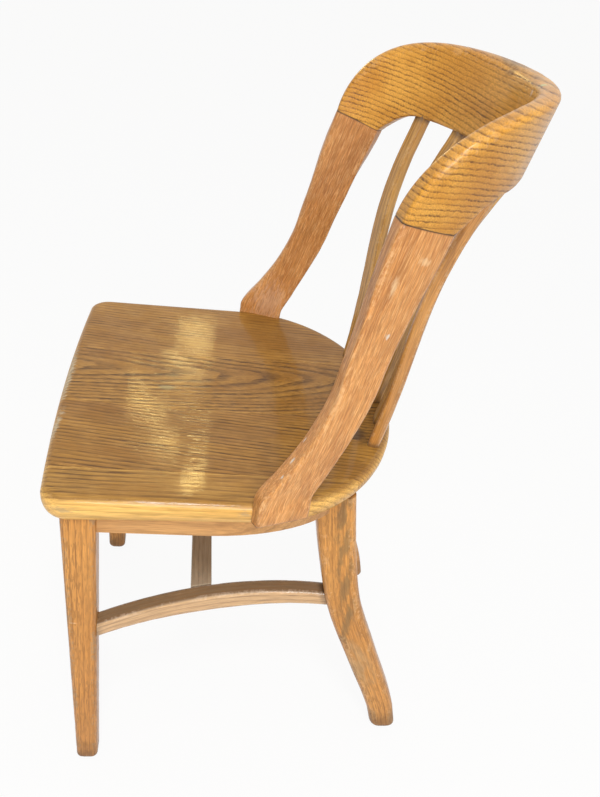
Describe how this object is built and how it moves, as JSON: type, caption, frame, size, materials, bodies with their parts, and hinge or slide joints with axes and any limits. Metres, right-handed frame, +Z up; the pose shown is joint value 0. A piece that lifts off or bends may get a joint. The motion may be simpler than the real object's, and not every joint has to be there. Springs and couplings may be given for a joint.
{
  "type": "dining chair",
  "caption": "Oak dining chair with a rounded seat of glued boards, flat spindles and shaped posts under a curved crest rail, tapered front legs, sabre rear legs and H stretchers.",
  "frame": {"origin": "on the floor, under the middle of the chair's bounding box", "axes": "+Z up, +Y towards the back of the chair, +X to the sitter's left; the sitter faces -Y"},
  "size_m": [0.4858, 0.4906, 0.853],
  "materials": {
    "seat_oak": "glossy golden varnish, worn",
    "leg_oak": "satin orange varnish, worn edges",
    "post_oak": "satin orange varnish, scratched",
    "crest_oak": "glossy amber varnish",
    "hidden_oak": "bare, sawn",
    "dowel_beech": "bare, turned",
    "steel": "plain wood screws"
  },
  "bodies": {
    "root": {"seat_board_left": "seat_oak", "seat_board_centre_left": "seat_oak", "seat_board_centre_right": "seat_oak", "seat_board_right": "seat_oak", "front_leg_left": "leg_oak", "front_leg_right": "leg_oak", "rear_leg_left": "leg_oak", "rear_leg_right": "leg_oak", "front_rail": "leg_oak", "side_rail_left": "leg_oak", "side_rail_right": "leg_oak", "rear_rail": "leg_oak", "corner_block_left": "hidden_oak", "corner_block_right": "hidden_oak", "side_stretcher_left": "leg_oak", "side_stretcher_right": "leg_oak", "cross_stretcher": "leg_oak", "back_post_left": "post_oak", "back_post_right": "post_oak", "crest_rail": "crest_oak", "spindle_left": "crest_oak", "spindle_inner_left": "crest_oak", "spindle_centre": "crest_oak", "spindle_inner_right": "crest_oak", "spindle_right": "crest_oak", "crest_dowels": "dowel_beech", "post_dowels": "dowel_beech", "seat_screws": "steel", "block_screws": "steel"}
  },
  "joints": []
}
